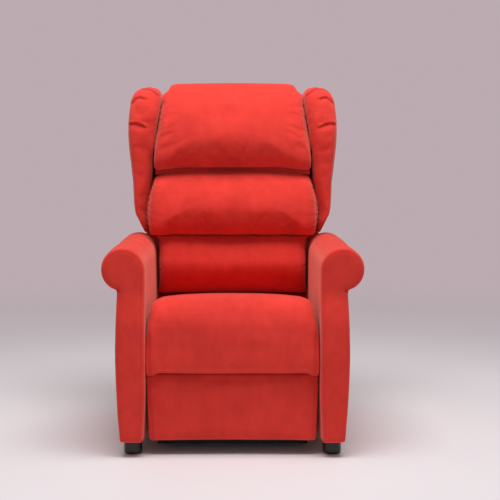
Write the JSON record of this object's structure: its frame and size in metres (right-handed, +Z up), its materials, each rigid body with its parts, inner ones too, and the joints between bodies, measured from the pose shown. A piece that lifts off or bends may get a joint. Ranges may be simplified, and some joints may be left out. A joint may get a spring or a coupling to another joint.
{
  "type": "lift recliner",
  "caption": "Upholstered riser recliner armchair with stacked back cushions, padded wings, rolled arms, powered footrest, reclining back and a floor frame that lifts and tilts the seat.",
  "frame": {"origin": "centre of the footprint of the whole chair, on the floor", "axes": "+Z up, -Y out of the front of the chair, +X to the right of someone who looks at the chair from the front"},
  "size_m": [0.78, 0.8596, 1.145],
  "materials": {
    "upholstery": "short brushed suede-like pile, soft sheen",
    "webbing": "woven elastic webbing",
    "frame_wood": "planed softwood and plywood",
    "frame_steel": "black powder coat",
    "bright_steel": "zinc plated",
    "drive_plastic": "fine moulded grain",
    "foot_plastic": "satin black",
    "glide_rubber": "matt",
    "control_plastic": "fine moulded grain",
    "button_plastic": "smooth satin"
  },
  "bodies": {
    "base": {"base_runners": "frame_steel", "base_cross_tubes": "frame_steel", "base_glides": "glide_rubber", "base_brackets": "frame_steel", "base_pins": "bright_steel", "power_supply": "drive_plastic"},
    "lift_arms": {"lift_arms": "frame_steel", "lift_torsion_shaft": "frame_steel", "lift_lever": "frame_steel", "lift_arm_pins": "bright_steel"},
    "guide_links": {"guide_links": "frame_steel", "guide_pins": "bright_steel"},
    "chassis": {"side_plates": "frame_steel", "chassis_cross_tubes": "frame_steel", "chassis_brackets": "frame_steel", "chassis_pins": "bright_steel", "seat_side_rails": "frame_wood", "seat_cross_rails": "frame_wood", "seat_webbing": "webbing", "rear_panel": "upholstery", "arm_left": "upholstery", "arm_right": "upholstery", "arm_frames": "frame_wood", "feet": "foot_plastic", "foot_studs": "bright_steel", "control_plate": "control_plastic", "seat_cushion": "upholstery", "footrest_actuator": "drive_plastic"},
    "footrest_crank": {"footrest_cranks": "frame_steel", "footrest_drive_shaft": "frame_steel", "footrest_lever": "frame_steel", "crank_pins": "bright_steel"},
    "footrest_control": {"footrest_control_links": "frame_steel"},
    "footrest_coupler": {"footrest_couplers": "frame_steel", "coupler_pins": "bright_steel"},
    "footrest_stay": {"footrest_stays": "frame_steel"},
    "footrest": {"footrest_board": "frame_wood", "footrest_pad": "upholstery", "footrest_brackets": "frame_steel", "footrest_bracket_pins": "bright_steel"},
    "back": {"back_board": "frame_wood", "back_hinge_brackets": "frame_steel", "back_lever": "frame_steel", "back_shell": "upholstery", "wing_left": "upholstery", "wing_right": "upholstery", "head_cushion": "upholstery", "middle_cushion": "upholstery", "lumbar_cushion": "upholstery"},
    "lift_drive": {"lift_actuator": "drive_plastic"},
    "lift_rod": {"lift_actuator_rod": "bright_steel"},
    "back_drive": {"back_actuator": "drive_plastic"},
    "back_rod": {"back_actuator_rod": "bright_steel"},
    "footrest_rod": {"footrest_actuator_rod": "bright_steel"},
    "back_down_button": {"back_down_button": "button_plastic"},
    "back_up_button": {"back_up_button": "button_plastic"},
    "footrest_down_button": {"footrest_down_button": "button_plastic"},
    "footrest_up_button": {"footrest_up_button": "button_plastic"},
    "lift_down_button": {"lift_down_button": "button_plastic"},
    "lift_up_button": {"lift_up_button": "button_plastic"}
  },
  "joints": [
    {"name": "lift", "type": "hinge", "parent": "base", "child": "lift_arms", "pos_m": [0, -0.2438, 0.0744], "axis": [1, 0, 0], "range_deg": [0, 55.7]},
    {"name": "lift_guide", "type": "hinge", "parent": "base", "child": "guide_links", "pos_m": [0, -0.2882, 0.0579], "axis": [1, 0, 0], "range_deg": [0, 61.2]},
    {"name": "lift_tilt", "type": "hinge", "parent": "lift_arms", "child": "chassis", "pos_m": [0, 0.15216, 0.1005], "axis": [1, 0, 0], "range_deg": [-31.46, 0]},
    {"name": "recline", "type": "hinge", "parent": "chassis", "child": "back", "pos_m": [0, 0.18996, 0.28093], "axis": [-1, 0, 0], "range_deg": [0, 45]},
    {"name": "footrest_raise", "type": "hinge", "parent": "chassis", "child": "footrest_crank", "pos_m": [0, -0.2835, 0.2248], "axis": [-1, 0, 0], "range_deg": [0, 88]},
    {"name": "footrest_control_turn", "type": "hinge", "parent": "chassis", "child": "footrest_control", "pos_m": [0, -0.32735, 0.24432], "axis": [-1, 0, 0], "range_deg": [0, 88]},
    {"name": "footrest_coupler_turn", "type": "hinge", "parent": "footrest_crank", "child": "footrest_coupler", "pos_m": [0, -0.21256, 0.07871], "axis": [-1, 0, 0], "range_deg": [-88, 0]},
    {"name": "footrest_stay_turn", "type": "hinge", "parent": "footrest_crank", "child": "footrest_stay", "pos_m": [0, -0.23091, 0.11649], "axis": [-1, 0, 0], "range_deg": [-88, 0]},
    {"name": "footrest_board_turn", "type": "hinge", "parent": "footrest_coupler", "child": "footrest", "pos_m": [0, -0.3394, 0.1874], "axis": [-1, 0, 0], "range_deg": [0, 88]},
    {"name": "lift_drive_swivel", "type": "hinge", "parent": "base", "child": "lift_drive", "pos_m": [0, 0.05516, 0.108], "axis": [1, 0, 0], "range_deg": [0, 5.57]},
    {"name": "lift_rod_slide", "type": "slide", "parent": "lift_drive", "child": "lift_rod", "axis": [0, -0.9963, 0.0863], "range_m": [0, 0.04634]},
    {"name": "back_drive_swivel", "type": "hinge", "parent": "chassis", "child": "back_drive", "pos_m": [0.11, -0.113, 0.2497], "axis": [1, 0, 0], "range_deg": [-2.41, 0]},
    {"name": "back_rod_slide", "type": "slide", "parent": "back_drive", "child": "back_rod", "axis": [0, 0.9983, -0.0576], "range_m": [-0.04513, 0]},
    {"name": "footrest_rod_slide", "type": "slide", "parent": "chassis", "child": "footrest_rod", "axis": [0, -1, 0], "range_m": [0, 0.05004]},
    {"name": "back_down_button_press", "type": "slide", "parent": "chassis", "child": "back_down_button", "axis": [-1, 0, 0], "range_m": [0, 0.0015], "stiffness_N_per_m": 400, "springref_m": -0.0005},
    {"name": "back_up_button_press", "type": "slide", "parent": "chassis", "child": "back_up_button", "axis": [-1, 0, 0], "range_m": [0, 0.0015], "stiffness_N_per_m": 400, "springref_m": -0.0005},
    {"name": "footrest_down_button_press", "type": "slide", "parent": "chassis", "child": "footrest_down_button", "axis": [-1, 0, 0], "range_m": [0, 0.0015], "stiffness_N_per_m": 400, "springref_m": -0.0005},
    {"name": "footrest_up_button_press", "type": "slide", "parent": "chassis", "child": "footrest_up_button", "axis": [-1, 0, 0], "range_m": [0, 0.0015], "stiffness_N_per_m": 400, "springref_m": -0.0005},
    {"name": "lift_down_button_press", "type": "slide", "parent": "chassis", "child": "lift_down_button", "axis": [-1, 0, 0], "range_m": [0, 0.0015], "stiffness_N_per_m": 400, "springref_m": -0.0005},
    {"name": "lift_up_button_press", "type": "slide", "parent": "chassis", "child": "lift_up_button", "axis": [-1, 0, 0], "range_m": [0, 0.0015], "stiffness_N_per_m": 400, "springref_m": -0.0005}
  ],
  "couplings": [
    {"joint": "lift_guide", "follows": "lift", "ratio": 1.0978},
    {"joint": "lift_tilt", "follows": "lift", "ratio": -0.56427},
    {"joint": "footrest_control_turn", "follows": "footrest_raise", "ratio": 1},
    {"joint": "footrest_coupler_turn", "follows": "footrest_raise", "ratio": -1},
    {"joint": "footrest_stay_turn", "follows": "footrest_raise", "ratio": -1},
    {"joint": "footrest_board_turn", "follows": "footrest_raise", "ratio": 1},
    {"joint": "lift_drive_swivel", "follows": "lift", "ratio": 0.099847},
    {"joint": "lift_rod_slide", "follows": "lift", "m_per_rad": 0.047646},
    {"joint": "back_drive_swivel", "follows": "recline", "ratio": -0.053229},
    {"joint": "back_rod_slide", "follows": "recline", "m_per_rad": -0.057441},
    {"joint": "footrest_rod_slide", "follows": "footrest_raise", "m_per_rad": 0.032564}
  ]
}
